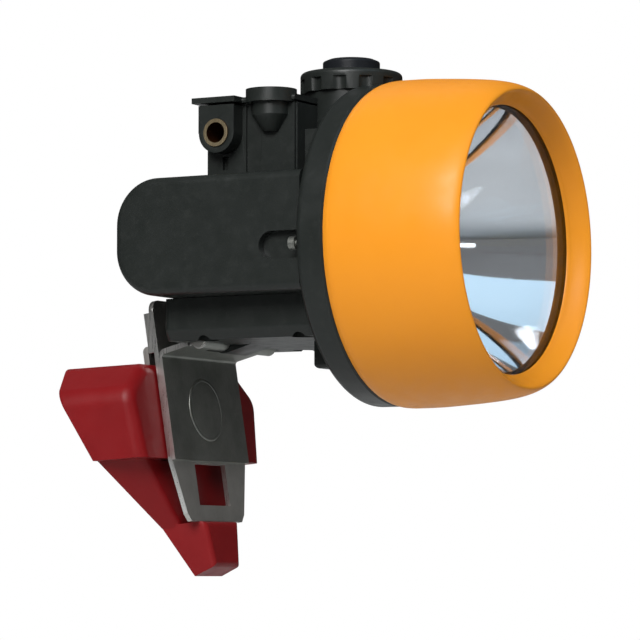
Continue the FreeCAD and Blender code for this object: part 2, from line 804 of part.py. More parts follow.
def control_board():
    board = box(-12.2, 12.2, 8.3, block_back - block_wall - 0.2, BOARD_LEVEL,
                BOARD_LEVEL + BOARD_THICKNESS)
    nose = rod("Z", 0, switch_back, BOARD_LEVEL, 6.9, BOARD_THICKNESS)
    corner = box(-20, -8.5, 19, 30, BOARD_LEVEL - 1, BOARD_LEVEL + 3)
    front = box(-20, 20, -20, 0.3, 20, 30)
    return cut(fuse(board, nose), corner, front)


def board_parts():
    """The charger, the driver with its coil, and their small parts."""
    top = BOARD_LEVEL + BOARD_THICKNESS
    parts = [
        rod("Z", 7, 19, top, 2.8, 2.4),
        box(-6, -1, 15, 20, top, top + 1.2),
        box(1, 4, 21, 24, top, top + 1),
        box(-7, -4.5, 11.5, 13, top, top + 0.9),
        box(5, 9, 11, 14.5, top, top + 1.4),
        box(-2, 2, 22, 24.4, BOARD_LEVEL - 1.2, BOARD_LEVEL),
        box(4, 9, 16, 21, BOARD_LEVEL - 1, BOARD_LEVEL),
    ]
    return group(parts)


SOCKET_PROUD = 0.3
TAIL_LENGTH = 2


def charge_socket_shell():
    """A gilded sleeve: the plug's bore, and behind it a wider bore for the insulator."""
    mouth = -socket_face - SOCKET_PROUD
    sleeve = rod("X", mouth, socket_back, socket_level, socket_radius, socket_depth + TAIL_LENGTH)
    bore = rod("X", mouth, socket_back, socket_level, socket_bore, socket_depth)
    tail = rod("X", mouth + socket_depth, socket_back, socket_level, socket_tail_bore, TAIL_LENGTH)
    return cut(sleeve, bore, tail)


def charge_socket_insulator():
    face = -socket_face - SOCKET_PROUD + socket_depth + 0.1
    return tube("X", face, socket_back, socket_level, socket_tail_bore, 0.6, TAIL_LENGTH - 0.1)


def charge_socket_pin():
    face = -socket_face - SOCKET_PROUD + socket_depth + 0.1
    return group([rod("X", face, socket_back, socket_level, 0.6, 2.7)])


def charge_leads():
    """From the socket's tail to the board's underside."""
    start = (-11.2, 23.6, 21.6)
    live = wire([start, (-7.5, 23.6, 21.6), (-7.5, 23.6, 22.4)], 0.4)
    ground = wire([(-12, 21.6, 20.8), (-7, 21.6, 20.8), (-7, 21.6, 22.4)], 0.4)
    return group([live, ground])


def battery_leads():
    return group([rod("Z", x, 19.3, 8.8, 0.55, BOARD_LEVEL - 8.8) for x in (-0.8, 0.8)])


def led_leads():
    leads = []
    for x in (-0.8, 0.8):
        leads.append(wire([(x, -12.4, 3.9), (x, -3.6, 3.9), (x, -3.6, LEAD_LEVEL),
                           (x, 3.4, LEAD_LEVEL), (x, 3.4, BOARD_LEVEL)], 0.5))
    return group(leads)


# ---------------------------------------------------------------- switch

def switch_collar():
    """The scalloped guard round the button, bored for it and counterbored for its flange."""
    body = turned("collar_body", "Z", [
        (5.7, tower_top + 3.05),
        (6.9, tower_top + 3.05),
        (6.9, tower_top + 0.02),
        (collar_radius, tower_top + 0.02),
        (collar_radius, collar_top),
        (5.7, collar_top),
    ])
    soften(body, "Fillet", [(-collar_radius, 0, collar_top)], 0.9)
    count = 12
    notches = []
    for k in range(count):
        notch = rod("Z", collar_radius + 1.35, 0, tower_top - MARGIN, 2, collar_top - tower_top - 0.6)
        turn = doc.addObject("Part::Compound", "Turned_notch")
        turn.Links = [notch]
        turn.Placement = Placement(Vector(), Rotation(Vector(0, 0, 1), 360 * (k + 0.5) / count))
        notches.append(turn)
    groove = torus("Z", 0, 0, collar_top - 0.75, 5.85, 0.3)
    return cut(body, *notches, groove)


def button_seal():
    return group([torus("Z", 0, 0, collar_top - 0.75, 5.9, 0.22)])


def push_button():
    body = turned("button_body", "Z", [
        (0, tower_top - 0.1),
        (2.55, tower_top - 0.1),
        (2.55, tower_top + 1.9),
        (6.6, tower_top + 1.9),
        (6.6, tower_top + 3),
        (button_radius, tower_top + 3),
        (button_radius, button_top - 0.5),
        (4.4, button_top),
        (0, button_top),
    ])
    soften(body, "Fillet", [(-button_radius, 0, button_top - 0.5)], 0.45)
    dish = ball(0, 0, button_top + 9.1, 9.5)
    return cut(body, dish)


def button_spring():
    """A coil between the tower's top and the button's flange.

    Each half turn is half a ring, tilted about the Y axis so that it climbs from end to end.
    The ends of two half rings meet in line, because both run along Y there.
    """
    thick = 0.22
    coil = 4.2
    bottom = float(tower_top) + 0.02 + thick
    top = float(tower_top) + 1.9 - thick
    halves = 5
    climb = (top - bottom) / halves
    tilt = math.degrees(math.asin(climb / (2 * coil)))
    rings = []
    for k in range(halves):
        ring = torus("Z", 0, 0, bottom + climb * (k + 0.5), coil, thick)
        ring.Angle3 = 180
        lean = Rotation(Vector(0, 1, 0), tilt if k % 2 == 0 else -tilt)
        start = Rotation(Vector(0, 0, 1), 180 * (k % 2))
        ring.Placement.Rotation = lean.multiply(start)
        rings.append(ring)
    return fuse(*rings)


def tact_switch():
    base = box(-3, 3, switch_back - 3, switch_back + 3, BOARD_LEVEL + BOARD_THICKNESS,
               BOARD_LEVEL + BOARD_THICKNESS + 2.6)
    plunger = rod("Z", 0, switch_back, BOARD_LEVEL + BOARD_THICKNESS + 2.6, 1.7, 1.5)
    return fuse(base, plunger)


# ---------------------------------------------------------------- hook clip

def hinge_in_clip():
    """The hinge's axis in the clip's frame: how far ahead of the leaf and how far up it."""
    lean = math.radians(float(clip_lean))
    ahead = float(clip_back - hinge_back)
    above = float(hinge_level - clip_level)
    return (ahead * math.cos(lean) + above * math.sin(lean),
            above * math.cos(lean) - ahead * math.sin(lean))


KNUCKLE_FORWARD, KNUCKLE_HEIGHT = hinge_in_clip()


def hinge_leaf():
    """The front leaf, bent forward at its top into the knuckles, with an oval boss on its face."""
    rise = 0.1055
    bend = KNUCKLE_HEIGHT - 0.5 - rise * KNUCKLE_FORWARD
    body = padded("leaf_body", "YZ_Plane", [
        (0, leaf_bottom),
        (leaf_thickness, leaf_bottom),
        (leaf_thickness, bend + 1),
        (-KNUCKLE_FORWARD, KNUCKLE_HEIGHT + 0.5),
        (-KNUCKLE_FORWARD, KNUCKLE_HEIGHT - 0.5),
        (0, bend),
    ], leaf_half * 2, symmetric=True)
    soften(body, "Fillet", [(0, leaf_thickness, bend + 1)], 1.6)
    soften(body, "Fillet", [(0, 0, bend)], 0.6)
    knuckles = []
    for side in (-1, 1):
        start = knuckle_inner if side > 0 else -knuckle_outer
        knuckles.append(rod("X", start, -KNUCKLE_FORWARD, KNUCKLE_HEIGHT, knuckle_radius,
                            knuckle_outer - knuckle_inner))
    emboss = doc.addObject("Part::Ellipsoid", "Emboss")
    emboss.Radius1 = 6.4
    emboss.Radius2 = 5.7
    emboss.Radius3 = 0.45
    emboss.Angle1 = -90
    emboss.Angle2 = 90
    bind_place(emboss, 0, 0.05, 9.3)
    lug_room = box(-knuckle_inner, knuckle_inner, -KNUCKLE_FORWARD - 4, -KNUCKLE_FORWARD + 4, 15, 28)
    bore = rod("X", -20, -KNUCKLE_FORWARD, KNUCKLE_HEIGHT, hinge_pin_radius, 40)
    ends = [box(a, b, -KNUCKLE_FORWARD - 3, -KNUCKLE_FORWARD + 2.3, 15, 28)
            for a, b in ((-20, -knuckle_outer), (knuckle_outer, 20))]
    return cut(fuse(body, emboss, *knuckles), lug_room, bore, *ends)


FLANGE_DEPTH = 1.2
FLANGE_THICKNESS = 0.8
FLANGE_BOTTOM = 20.6


def hook_plate():
    """The long plate: upstand behind the lamp, and below the leaf a frame round a window."""
    near = leaf_thickness
    body = padded("hook_body", "XZ_Plane", [
        (-leaf_half + 0.25, leaf_bottom),
        (-frame_half - 0.6, frame_bottom + 1.5),
        (-frame_half + 0.6, frame_bottom),
        (frame_half - 0.6, frame_bottom),
        (frame_half + 0.6, frame_bottom + 1.5),
        (leaf_half - 0.25, leaf_bottom),
        (leaf_half - 0.25, plate_top),
        (-leaf_half + 0.25, plate_top),
    ], plate_thickness, reverse=True,
        offset=Placement(Vector(0, 0, -float(near)), Rotation()))
    level = leaf_thickness + plate_thickness * 0.5
    soften(body, "Fillet", [(-leaf_half + 0.25, level, plate_top),
                            (leaf_half - 0.25, level, plate_top)], 2.5)
    flange_back = leaf_thickness + plate_thickness + FLANGE_DEPTH
    corner = leaf_half - 0.25
    flanges = [box(x, x + FLANGE_THICKNESS, near, flange_back, FLANGE_BOTTOM, plate_top - 2.5)
               for x in (-corner, corner - FLANGE_THICKNESS)]
    window = box(-window_half, window_half, 0, 4, window_bottom, window_top)
    holes = [rod("Y", s * 6, 0, 26.5, 1.25, 5) for s in (-1, 1)]
    return cut(fuse(body, *flanges), window, *holes)


def pocket_tongue():
    """The hidden leg: riveted to the plate's upstand, stepped back, and down into the pocket."""
    near = leaf_thickness + plate_thickness
    leg = near + bracket_gap + bracket_front_wall + 0.6
    body = padded("tongue_body", "YZ_Plane", [
        (near, 21.3),
        (near, 30),
        (near + 1.2, 30),
        (near + 1.2, 22.5),
        (leg + 1.2, 22.5),
        (leg + 1.2, tongue_bottom),
        (leg, tongue_bottom),
        (leg, 21.3),
    ], tongue_half * 2, symmetric=True)
    soften(body, "Fillet", [(0, leg + 1.2, 22.5)], 1)
    soften(body, "Chamfer", [(-tongue_half, leg + 0.6, tongue_bottom),
                             (tongue_half, leg + 0.6, tongue_bottom)], 2)
    holes = [rod("Y", s * 6, 0, 26.5, 1.25, 5) for s in (-1, 1)]
    return cut(body, *holes)


def clip_rivets():
    near = leaf_thickness
    far = leaf_thickness + plate_thickness + 1.2
    rivets = []
    for side in (-1, 1):
        shank = rod("Y", side * 6, near - 0.6, 26.5, 1.25, far - near + 1.2)
        heads = [rod("Y", side * 6, near - 0.6, 26.5, 2.1, 0.6), rod("Y", side * 6, far, 26.5, 2.1, 0.6)]
        rivets.append(fuse(shank, *heads))
    return group(rivets)


def hinge_pin():
    """The pin, peened over outside the knuckles."""
    shank = rod("X", -knuckle_outer, -KNUCKLE_FORWARD, KNUCKLE_HEIGHT, hinge_pin_radius, knuckle_outer * 2)
    heads = both_sides(lambda s: rod("X", s * float(knuckle_outer) - (0.5 if s < 0 else 0),
                                     -KNUCKLE_FORWARD, KNUCKLE_HEIGHT, 1.4, 0.5))
    return fuse(shank, *heads)


def hinge_washers():
    starts = (lug_half + 0.08, -knuckle_inner)
    return group([tube("X", start, -KNUCKLE_FORWARD, KNUCKLE_HEIGHT, 1.65, hinge_pin_radius, 0.35)
                  for start in starts])


# ---------------------------------------------------------------- bracket

def loft_body(name, front, back, recess=0):
    """A block from an outline on the clip-side plane to one on the helmet-side plane."""
    body = new_body(name)
    front_place = clip_plane(float(leaf_thickness + plate_thickness + bracket_gap) + recess)
    back_place = Placement(Vector(), Rotation(Vector(1, 0, 0), -float(back_lean)))
    sketches = []
    for points, place in ((back, back_place), (front, front_place)):
        sketches.append(outline(body, "XZ_Plane", points, sketch_offset(place)))
    loft = body.newObject("PartDesign::AdditiveLoft", name + "_loft")
    loft.Profile = sketches[0]
    loft.Sections = sketches[1:]
    loft.Ruled = True
    return body


def clip_plane(depth):
    """The clip's frame in the part's frame, moved back by depth across the plate."""
    lean = Rotation(Vector(1, 0, 0), -float(clip_lean))
    start = Vector(0, float(clip_back - lamp_forward), float(clip_level + lamp_up))
    return Placement(start + lean.multVec(Vector(0, depth, 0)), lean)


def sketch_offset(place):
    """The offset that carries a sketch on the XZ plane to the plane of a placement."""
    stand = Placement(Vector(), Rotation(Vector(1, 0, 0), 90))
    return stand.inverse().multiply(place).multiply(stand)


def in_clip_plane(solid, depth=0):
    """Lean a cutting tool with the clip, so that it follows the hook plate."""
    leaning = group([solid])
    leaning.Placement = clip_plane(depth)
    return leaning


TAIL_RECESS = 2.6
TOE_RECESS = -2.4


def helmet_bracket():
    """A red wedge: a wide head with the pocket, a drawn-in tail, and a toe under the clip."""
    upper = loft_body("bracket_upper_body", [
        (-17.5, 18.4), (17.5, 18.4), (24.6, 12.4), (22.8, -0.4), (-22.8, -0.4), (-24.6, 12.4),
    ], [
        (-18.5, 24.8), (18.5, 24.8), (26.6, 18), (24, 3.8), (-24, 3.8), (-26.6, 18),
    ])
    soften(upper, "Fillet", lofted_edges(upper, (0, 1, 2, 5)), 4.5)
    soften(upper, "Fillet", rim_edges(upper, 0, -0.2), 2.5)
    tail = loft_body("bracket_tail_body", [
        (-20.8, 3), (20.8, 3), (8, -13.5), (-8, -13.5),
    ], [
        (-24.2, 6), (24.2, 6), (9.5, -11), (-9.5, -11),
    ], TAIL_RECESS)
    toe = loft_body("bracket_toe_body", [
        (-6.2, -13.05), (6.2, -13.05), (4.9, -22), (-4.9, -22),
    ], [
        (-9.6, -10.5), (9.6, -10.5), (5.2, -21.5), (-5.2, -21.5),
    ], TOE_RECESS)
    soften(tail, "Fillet", rim_edges(tail, TAIL_RECESS, -12, slanted=True), 1.6)
    soften(toe, "Fillet", rim_edges(toe, TOE_RECESS, -23), 1.2)
    pocket = in_clip_plane(box(-12, 12, POCKET_START, POCKET_START + pocket_depth, -0.5, 30))
    cuts = [pocket]
    for side in (-1, 1):
        bore = rod("Z", side * insert_side, 0, 0, insert_radius, insert_depth + MARGIN)
        cuts.append(on_back(bore, insert_height, -MARGIN))
    return cut(fuse(upper, tail, toe), *cuts)


def rim_edges(body, recess, lowest, slanted=False):
    """A point on each edge of a loft's clip-side face that lies above a level of the clip."""
    doc.recompute()
    front = clip_plane(float(leaf_thickness + plate_thickness + bracket_gap) + recess).inverse()
    points = []
    for edge in body.Tip.Shape.Edges:
        start, end = [front.multVec(edge.valueAt(p)) for p in edge.ParameterRange]
        on_face = abs(start.y) < 0.01 and abs(end.y) < 0.01
        high = min(start.z, end.z) > lowest
        if slanted:
            high = abs(start.z - end.z) > 1
        if on_face and high:
            middle = edge.valueAt(sum(edge.ParameterRange) * 0.5)
            points.append((middle.x, middle.y, middle.z))
    return points


POCKET_START = leaf_thickness + plate_thickness + bracket_gap + bracket_front_wall


def lofted_edges(body, corners):
    """The middle of each long edge of a loft, from the matching corners of its outlines."""
    doc.recompute()
    sketches = [s for s in body.Group if s.TypeId == "Sketcher::SketchObject"]
    points = []
    for k in corners:
        ends = [s.Placement.multVec(s.Geometry[k].StartPoint) for s in sketches]
        middle = (ends[0] + ends[1]) * 0.5
        points.append((middle.x, middle.y, middle.z))
    return points


def on_back(solid, height, depth=0):
    """Turn a rod's axis into the bracket from its back face, height mm up that face."""
    lean = math.radians(float(back_lean))
    inward = Vector(0, -math.cos(lean), math.sin(lean))
    up = Vector(0, math.sin(lean), math.cos(lean))
    turned_in = group([solid])
    turn = Rotation(Vector(0, 0, 1), inward)
    turned_in.Placement = Placement(up * float(height) + inward * depth, turn)
    return turned_in


def bracket_inserts():
    """Two brass M4 inserts pressed into the bracket's back, with a groove round each."""
    inserts = []
    for side in (-1, 1):
        body = tube("Z", side * insert_side, 0, 0.1, insert_radius, 1.65, insert_depth - 0.2)
        grooves = [tube("Z", side * insert_side, 0, z, insert_radius + 1, insert_radius - 0.3, 0.8)
                   for z in (1.7, 3.7)]
        inserts.append(on_back(cut(body, *grooves), insert_height))
    return group(inserts)


# ---------------------------------------------------------------- assembly

def in_row(solid, label):
    """A sub-part that is already modelled in the part's own frame."""
    solid.Label = label
    pieces.append(solid)


in_row(helmet_bracket(), "helmet_bracket")
in_row(bracket_inserts(), "bracket_inserts")

in_clip(hook_plate(), "hook_plate")
in_clip(hinge_leaf(), "hinge_leaf")
in_clip(pocket_tongue(), "pocket_tongue")
in_clip(clip_rivets(), "clip_rivets")
in_clip(hinge_pin(), "hinge_pin")
in_clip(hinge_washers(), "hinge_washers")

in_head(front_housing(), "front_housing")
in_head(battery_housing(), "battery_housing")
in_head(end_cap(-1), "end_cap_right")
in_head(end_cap(1), "end_cap_left")
in_head(base_cover(), "base_cover")
in_head(base_cover_screws(), "base_cover_screws")
in_head(top_housing(), "top_housing")
in_head(top_cover(), "top_cover")
in_head(cover_gasket(), "top_cover_gasket")
in_head(cover_screws(), "top_cover_screws")
in_head(bezel(), "bezel")
in_head(group([bezel_seal()]), "bezel_seal")
in_head(bezel_lock_screw(), "bezel_lock_screw")
in_head(lens(), "lens")
in_head(lens_seal(), "lens_seal")
in_head(reflector(), "reflector")
in_head(led_board(), "led_board")
in_head(main_led(), "main_led")
in_head(heat_sink(), "heat_sink")
in_head(heat_sink_screws(), "heat_sink_screws")
in_head(led_leads(), "led_leads")
in_head(cell(cell_rear), "cell_rear")
in_head(cell(cell_rear - cell_pitch), "cell_front")
for frame, side in zip(cell_frames(), ("right", "left")):
    in_head(frame, "cell_frame_" + side)
in_head(group([cell_rib()]), "cell_rib")
in_head(cell_contacts(), "cell_straps")
in_head(protection_board(), "protection_board")
in_head(protection_parts(), "protection_parts")
in_head(battery_leads(), "battery_leads")
in_head(control_board(), "control_board")
in_head(board_parts(), "control_parts")
in_head(tact_switch(), "tact_switch")
in_head(charge_socket_shell(), "charge_socket_shell")
in_head(charge_socket_insulator(), "charge_socket_insulator")
in_head(charge_socket_pin(), "charge_socket_pin")
in_head(charge_leads(), "charge_leads")
in_head(switch_collar(), "switch_collar", switch_back)
in_head(button_seal(), "button_seal", switch_back)
in_head(button_spring(), "button_spring", switch_back)
in_head(push_button(), "push_button", switch_back)


# ---------------------------------------------------------------- check and write

doc.recompute()
faults = []
for thing in doc.Objects:
    if set(thing.State) & {"Invalid", "Error"}:
        faults.append("%s (%s): %s" % (thing.Name, thing.Label, thing.State))
for piece in pieces:
    shape = piece.Shape
    if shape.isNull() or not shape.isValid() or not shape.Solids:
        faults.append("%s has no valid solid" % piece.Label)
if faults:
    raise RuntimeError("; ".join(faults))

os.makedirs("parts", exist_ok=True)
for piece in pieces:
    piece.Shape.exportStep("parts/%s.step" % piece.Label)
    limits = piece.Shape.BoundBox
    print("%-24s solids %2d  volume %9.1f  x %6.1f %6.1f  y %6.1f %6.1f  z %6.1f %6.1f" % (
        piece.Label, len(piece.Shape.Solids), piece.Shape.Volume, limits.XMin, limits.XMax,
        limits.YMin, limits.YMax, limits.ZMin, limits.ZMax))
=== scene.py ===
import json
import math

import bmesh
import bpy
from mathutils import Matrix, Vector


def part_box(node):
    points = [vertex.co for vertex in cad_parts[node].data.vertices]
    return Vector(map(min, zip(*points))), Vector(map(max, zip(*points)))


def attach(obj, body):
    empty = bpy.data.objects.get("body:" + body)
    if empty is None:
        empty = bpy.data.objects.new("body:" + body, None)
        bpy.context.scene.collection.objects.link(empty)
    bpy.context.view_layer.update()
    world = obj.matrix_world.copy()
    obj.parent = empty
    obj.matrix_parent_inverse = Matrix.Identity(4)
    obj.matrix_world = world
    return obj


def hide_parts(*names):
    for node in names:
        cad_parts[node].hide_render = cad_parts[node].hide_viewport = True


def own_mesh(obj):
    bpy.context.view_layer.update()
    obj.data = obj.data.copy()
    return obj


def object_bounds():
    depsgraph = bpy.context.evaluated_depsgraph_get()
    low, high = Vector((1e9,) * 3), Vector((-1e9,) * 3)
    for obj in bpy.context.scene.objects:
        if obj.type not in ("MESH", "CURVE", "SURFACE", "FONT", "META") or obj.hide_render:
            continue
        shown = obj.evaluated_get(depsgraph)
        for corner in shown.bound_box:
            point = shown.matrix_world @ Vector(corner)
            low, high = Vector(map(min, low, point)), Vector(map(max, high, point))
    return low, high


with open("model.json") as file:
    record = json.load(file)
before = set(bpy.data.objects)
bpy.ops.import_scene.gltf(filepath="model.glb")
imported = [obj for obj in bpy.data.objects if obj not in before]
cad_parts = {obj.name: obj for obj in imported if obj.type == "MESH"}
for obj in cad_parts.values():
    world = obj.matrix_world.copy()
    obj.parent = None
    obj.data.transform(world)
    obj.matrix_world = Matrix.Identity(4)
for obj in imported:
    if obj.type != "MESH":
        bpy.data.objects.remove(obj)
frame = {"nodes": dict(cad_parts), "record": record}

CAD_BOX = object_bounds()
NODES = frame["nodes"]
MM = 0.001


# ---------------------------------------------------------------- material helpers

class Look:
    """A node material with a Principled shader, and short calls that wire detail into it."""

    def __init__(self, name, color, roughness, metallic=0.0, **sockets):
        self.material = bpy.data.materials.new(name)
        self.material.use_nodes = True
        self.nodes = self.material.node_tree.nodes
        self.links = self.material.node_tree.links
        self.shader = self.nodes["Principled BSDF"]
        self.color = (*color, 1.0)
        self.shader.inputs["Base Color"].default_value = self.color
        self.shader.inputs["Roughness"].default_value = roughness
        self.shader.inputs["Metallic"].default_value = metallic
        for socket, value in sockets.items():
            self.shader.inputs[socket.replace("_", " ")].default_value = value
        self.coords = self.nodes.new("ShaderNodeTexCoord").outputs["Object"]
        self.bump_out = None
        self.color_out = None

    def link(self, a, b):
        self.links.new(a, b)

    def stretched(self, scale):
        """Object coordinates, stretched by a factor for each axis."""
        mapping = self.nodes.new("ShaderNodeMapping")
        mapping.inputs["Scale"].default_value = scale
        self.link(self.coords, mapping.inputs["Vector"])
        return mapping.outputs["Vector"]

    def noise(self, scale, detail=3.0, roughness=0.5, vector=None):
        texture = self.nodes.new("ShaderNodeTexNoise")
        texture.inputs["Scale"].default_value = scale
        texture.inputs["Detail"].default_value = detail
        texture.inputs["Roughness"].default_value = roughness
        self.link(vector or self.coords, texture.inputs["Vector"])
        return texture.outputs["Fac"]

    def voronoi(self, scale):
        texture = self.nodes.new("ShaderNodeTexVoronoi")
        texture.inputs["Scale"].default_value = scale
        self.link(self.coords, texture.inputs["Vector"])
        return texture.outputs["Distance"]

    def range(self, factor, low, high, start=0.0, end=1.0):
        node = self.nodes.new("ShaderNodeMapRange")
        node.inputs["From Min"].default_value = start
        node.inputs["From Max"].default_value = end
        node.inputs["To Min"].default_value = low
        node.inputs["To Max"].default_value = high
        self.link(factor, node.inputs["Value"])
        return node.outputs["Result"]

    def tint(self, factor, color, low=0.35, high=0.65, amount=1.0):
        """Mix a second colour in where the factor is high."""
        mix = self.nodes.new("ShaderNodeMix")
        mix.data_type = "RGBA"
        mix.inputs["B"].default_value = (*color, 1.0)
        if self.color_out:
            self.link(self.color_out, mix.inputs["A"])
        else:
            mix.inputs["A"].default_value = self.color
        self.link(self.range(factor, 0.0, amount, low, high), mix.inputs["Factor"])
        self.color_out = mix.outputs["Result"]
        self.link(self.color_out, self.shader.inputs["Base Color"])
        return self

    def rough(self, factor, low, high, start=0.3, end=0.7):
        self.link(self.range(factor, low, high, start, end), self.shader.inputs["Roughness"])
        return self

    def bump(self, factor, height_mm, strength=1.0):
        node = self.nodes.new("ShaderNodeBump")
        node.inputs["Distance"].default_value = height_mm * MM
        node.inputs["Strength"].default_value = strength
        self.link(factor, node.inputs["Height"])
        if self.bump_out:
            self.link(self.bump_out, node.inputs["Normal"])
        self.bump_out = node.outputs["Normal"]
        self.link(self.bump_out, self.shader.inputs["Normal"])
        return self


# ---------------------------------------------------------------- materials

def moulded(name, color, roughness, grain=0.012, dust=None, **sockets):
    """Moulded plastic: fine grain, slow waviness, a rubbed gloss that varies, and light dust."""
    look = Look(name, color, roughness, **sockets)
    look.rough(look.noise(260, 4.0), roughness - 0.06, roughness + 0.07)
    look.bump(look.noise(5200, 2.0), grain)
    look.bump(look.noise(90, 2.0), grain * 2.5, 0.6)
    if dust:
        look.tint(look.noise(420, 6.0, 0.65), dust, 0.52, 0.78, 0.35)
    return look.material


def orange_plastic():
    look = Look("orange_plastic", (0.70, 0.25, 0.015), 0.40, Specular_IOR_Level=0.2)
    look.tint(look.noise(60, 3.0), (0.64, 0.212, 0.009), 0.3, 0.75, 0.4)
    look.tint(look.noise(900, 5.0, 0.7), (0.50, 0.16, 0.012), 0.66, 0.8, 0.25)
    look.rough(look.noise(300, 5.0), 0.30, 0.42)
    look.bump(look.noise(4200, 2.0), 0.008)
    look.bump(look.noise(120, 2.0), 0.012, 0.5)
    return look.material


def red_plastic():
    look = Look("red_plastic", (0.175, 0.0048, 0.0062), 0.42, Specular_IOR_Level=0.2)
    look.tint(look.noise(80, 4.0), (0.13, 0.0034, 0.0045), 0.35, 0.7, 0.6)
    look.tint(look.noise(1100, 5.0, 0.7), (0.27, 0.05, 0.045), 0.62, 0.82, 0.2)
    look.rough(look.noise(240, 5.0), 0.36, 0.5)
    look.bump(look.noise(3600, 2.0), 0.012)
    look.bump(look.noise(140, 3.0), 0.05, 0.5)
    return look.material


def brushed(name, color, roughness, dark=None):
    """Rolled steel sheet: brush marks along one axis, smudges, and a grey bloom."""
    look = Look(name, color, roughness, 1.0)
    marks = look.noise(180, 6.0, 0.7, look.stretched((30.0, 30.0, 1.2)))
    look.rough(marks, roughness - 0.08, roughness + 0.12)
    look.bump(marks, 0.006)
    if dark:
        look.tint(look.noise(160, 5.0, 0.6), dark, 0.4, 0.7, 0.7)
    return look.material


def clear_lens():
    look = Look("lens_clear", (0.97, 0.985, 1.0), 0.02, Transmission_Weight=1.0, IOR=1.45)
    look.rough(look.noise(700, 4.0, 0.6), 0.01, 0.035, 0.4, 0.8)
    return look.material


def reflector_chrome():
    look = Look("reflector_chrome", (0.90, 0.92, 0.95), 0.05, 1.0)
    look.rough(look.noise(400, 3.0), 0.03, 0.08)
    look.bump(look.noise(500, 2.0), 0.012, 0.4)
    return look.material


def board(name, color):
    look = Look(name, color, 0.35, Coat_Weight=0.3)
    look.tint(look.noise(900, 2.0), tuple(0.6 * c for c in color), 0.5, 0.56, 0.8)
    look.bump(look.voronoi(900), 0.01)
    return look.material


def make_materials():
    black = moulded("black_plastic", (0.0115, 0.0135, 0.0122), 0.36, 0.02, (0.03, 0.032, 0.030),
                    Specular_IOR_Level=0.28)
    return {
        "red_plastic": red_plastic(),
        "black_plastic": black,
        "orange_plastic": orange_plastic(),
        "steel": brushed("steel", (0.52, 0.51, 0.48), 0.42, (0.36, 0.35, 0.33)),
        "dark_steel": brushed("dark_steel", (0.24, 0.245, 0.225), 0.46, (0.16, 0.165, 0.15)),
        "cut_steel": brushed("cut_steel", (0.62, 0.61, 0.59), 0.30, (0.45, 0.44, 0.42)),
        "screw_steel": brushed("screw_steel", (0.45, 0.44, 0.42), 0.32, (0.2, 0.19, 0.17)),
        "brass": brushed("brass", (0.86, 0.70, 0.44), 0.22, (0.66, 0.5, 0.28)),
        # dark brass for the socket bore: painted shade inside the hole
        "brass_painted_shade": brushed("brass_painted_shade", (0.10, 0.035, 0.012), 0.5, (0.05, 0.015, 0.006)),
        "rubber": moulded("rubber", (0.010, 0.010, 0.010), 0.62, 0.02),
        "button_rubber": moulded("button_rubber", (0.009, 0.010, 0.012), 0.36, 0.015,
                                 (0.02, 0.02, 0.024), Specular_IOR_Level=0.15),
        "lens_clear": clear_lens(),
        "reflector_chrome": reflector_chrome(),
        "board_white": board("board_white", (0.75, 0.75, 0.72)),
        "board_green": board("board_green", (0.02, 0.16, 0.06)),
        "chip_black": moulded("chip_black", (0.02, 0.02, 0.021), 0.5),
        "led_yellow": moulded("led_yellow", (0.85, 0.72, 0.12), 0.15, 0.002),
        "aluminium": brushed("aluminium", (0.66, 0.66, 0.67), 0.35),
        "cell_wrap": moulded("cell_wrap", (0.05, 0.16, 0.42), 0.28, 0.006),
        "frame_plastic": moulded("frame_plastic", (0.72, 0.71, 0.66), 0.45),
        "nickel": brushed("nickel", (0.6, 0.58, 0.52), 0.3),
        "lead_insulation": moulded("lead_insulation", (0.4, 0.02, 0.02), 0.5),
    }


MATERIALS = make_materials()
SLOTS = {row["node"]: row["material_slot"] for row in frame["record"]["subparts"]}


def dress(thing, slot):
    thing.data.materials.clear()
    thing.data.materials.append(MATERIALS[slot])


def second_coat(thing, material, chosen):
    """Give the faces that a test picks a second material."""
    thing.data.materials.append(MATERIALS[material])
    for face in thing.data.polygons:
        if chosen(face):
            face.material_index = 1


for name, node in NODES.items():
    dress(node, SLOTS[name])


# ---------------------------------------------------------------- edges of the CAD nodes

WELD_REACH = 0.002 * MM
BEVEL_ANGLE = math.radians(32.0)


def ease_edges(node, width_mm):
    """Join the node's split corners, round its edges a little, and shade it smoothly."""
    weld = node.modifiers.new("weld", "WELD")
    weld.merge_threshold = WELD_REACH
    bevel = node.modifiers.new("bevel", "BEVEL")
    bevel.width = width_mm * MM
    bevel.segments = 2
    bevel.limit_method = "ANGLE"
    bevel.angle_limit = BEVEL_ANGLE
    bevel.use_clamp_overlap = True
    normals = node.modifiers.new("normals", "WEIGHTED_NORMAL")
    normals.mode = "FACE_AREA"
    normals.weight = 100
    normals.keep_sharp = False
    for face in node.data.polygons:
        face.use_smooth = True


EASED = {
    "helmet_bracket": 0.5,
    "battery_housing": 0.3,
    "base_cover": 0.3,
    "top_housing": 0.25,
    "top_cover": 0.25,
    "switch_collar": 0.25,
    "push_button": 0.2,
    "front_housing": 0.3,
    "hinge_leaf": 0.12,
    "hook_plate": 0.12,
}
for name, width in EASED.items():
    ease_edges(NODES[name], width)


# ---------------------------------------------------------------- turned pieces

def add_piece(name, mesh, body, slot, *replaced):
    thing = bpy.data.objects.new(name, mesh)
    bpy.context.scene.collection.objects.link(thing)
    mesh.materials.append(MATERIALS[slot])
    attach(thing, body)
    if replaced:
        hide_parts(*replaced)
    return thing


